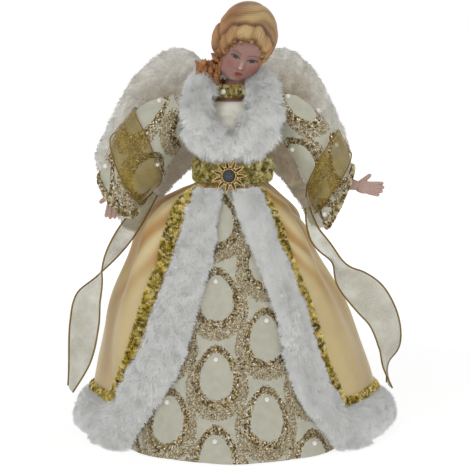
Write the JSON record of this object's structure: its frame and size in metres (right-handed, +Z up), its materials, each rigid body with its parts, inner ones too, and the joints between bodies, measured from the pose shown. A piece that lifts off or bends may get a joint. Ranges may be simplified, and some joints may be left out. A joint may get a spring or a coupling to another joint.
{
  "type": "angel tree topper",
  "caption": "Angel tree topper: a doll's bust on a card cone in a patterned underskirt and fur-edged satin overskirt, with bell sleeves, plush wings and sheer ribbons.",
  "frame": {"origin": "on the ground, under the middle of the whole angel", "axes": "+Z up, the angel faces -Y, +X to the viewer's right"},
  "size_m": [0.2328, 0.2024, 0.2996],
  "materials": {
    "card": "plain rolled card",
    "foam": "white foam",
    "patterned_cloth": "ivory satin with glitter rings",
    "bodice_cloth": "ivory satin",
    "gold_satin": "champagne gold satin",
    "fur": "white fur plush",
    "tinsel_braid": "gold tinsel braid",
    "brooch_gold": "polished gold plate",
    "stone": "grey faceted stone",
    "pearl": "pearl gloss",
    "skin": "painted doll skin",
    "hair": "moulded hair, painted",
    "wire": "bright wire",
    "socket_plastic": "white moulded plastic",
    "organza": "sheer gold organza with a wire edge"
  },
  "bodies": {
    "figure": {"card_cone": "card", "torso_form": "foam", "underskirt": "patterned_cloth", "overskirt": "gold_satin", "bodice": "bodice_cloth", "fur_front_left": "fur", "fur_front_right": "fur", "fur_hem": "fur", "braid_front_left": "tinsel_braid", "braid_front_right": "tinsel_braid", "braid_hem": "tinsel_braid", "belt": "tinsel_braid", "brooch_star": "brooch_gold", "brooch_gem": "stone", "head_bust": "skin", "moulded_hair": "hair", "neck_braid": "tinsel_braid", "neck_pearl": "pearl", "fur_collar": "fur", "arm_yoke": "wire", "wing_mount": "socket_plastic", "ribbon_tail_left": "organza", "ribbon_tail_right": "organza"},
    "left_arm": {"sleeve_left": "patterned_cloth", "cuff_braid_left": "tinsel_braid", "hand_left": "skin", "arm_wire_left": "wire", "ribbon_wrap_left": "organza"},
    "left_wing": {"wing_left": "fur", "wing_wire_left": "wire"},
    "right_arm": {"sleeve_right": "patterned_cloth", "cuff_braid_right": "tinsel_braid", "hand_right": "skin", "arm_wire_right": "wire", "ribbon_wrap_right": "organza"},
    "right_wing": {"wing_right": "fur", "wing_wire_right": "wire"}
  },
  "joints": [
    {"name": "arm_raise_left", "type": "hinge", "parent": "figure", "child": "left_arm", "pos_m": [-0.036, -0.011, 0.222], "axis": [0, 1, 0], "range_deg": [0, 25]},
    {"name": "arm_raise_right", "type": "hinge", "parent": "figure", "child": "right_arm", "pos_m": [0.036, -0.011, 0.222], "axis": [0, -1, 0], "range_deg": [0, 25]},
    {"name": "wing_fold_left", "type": "hinge", "parent": "figure", "child": "left_wing", "pos_m": [-0.01, 0.0114, 0.205], "axis": [0, 0, -1], "range_deg": [-4, 38]},
    {"name": "wing_fold_right", "type": "hinge", "parent": "figure", "child": "right_wing", "pos_m": [0.01, 0.0114, 0.205], "axis": [0, 0, 1], "range_deg": [-24, 18]}
  ]
}
